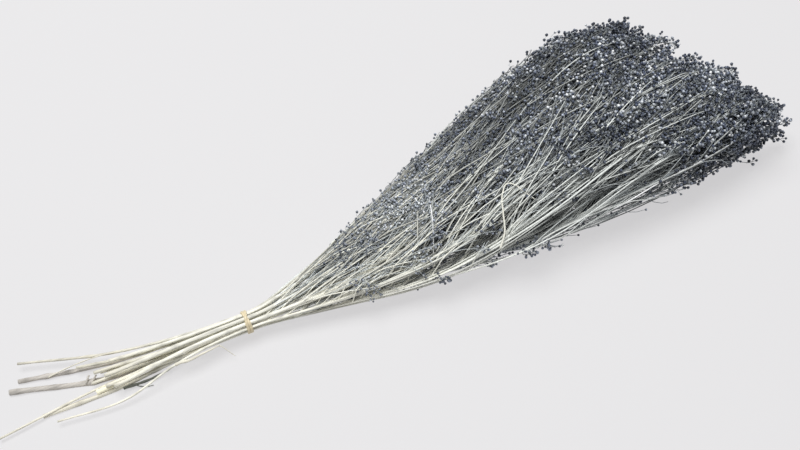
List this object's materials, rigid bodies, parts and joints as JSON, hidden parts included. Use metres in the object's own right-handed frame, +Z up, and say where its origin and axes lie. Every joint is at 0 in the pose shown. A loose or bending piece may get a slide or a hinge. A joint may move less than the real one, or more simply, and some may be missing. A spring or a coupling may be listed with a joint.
{
  "type": "dried broom bloom bunch",
  "caption": "Bunch of dried, painted broom bloom: long bare stems held by a rubber band, fanning into a wide head of fine twigs with small round seed heads; lies on a surface.",
  "frame": {"origin": "on the surface that the bunch lies on, under the middle of its bounding box", "axes": "+X along the bunch from the cut ends to the seed heads, +Y across it, +Z up from the surface"},
  "size_m": [0.6596, 0.1614, 0.0854],
  "materials": {
    "frosted_stems": "dry, matt wood sprayed pale grey-blue, cream on the bare stems and slate on the seed heads",
    "rubber_band": "soft natural rubber, cream, slightly dusty"
  },
  "bodies": {
    "root": {"spray_01": "frosted_stems", "spray_02": "frosted_stems", "spray_03": "frosted_stems", "spray_04": "frosted_stems", "spray_05": "frosted_stems", "spray_06": "frosted_stems", "spray_07": "frosted_stems", "spray_08": "frosted_stems", "spray_09": "frosted_stems", "spray_10": "frosted_stems", "spray_11": "frosted_stems", "spray_12": "frosted_stems", "spray_13": "frosted_stems", "spray_14": "frosted_stems", "spray_15": "frosted_stems", "spray_16": "frosted_stems", "rubber_band": "rubber_band"}
  },
  "joints": []
}
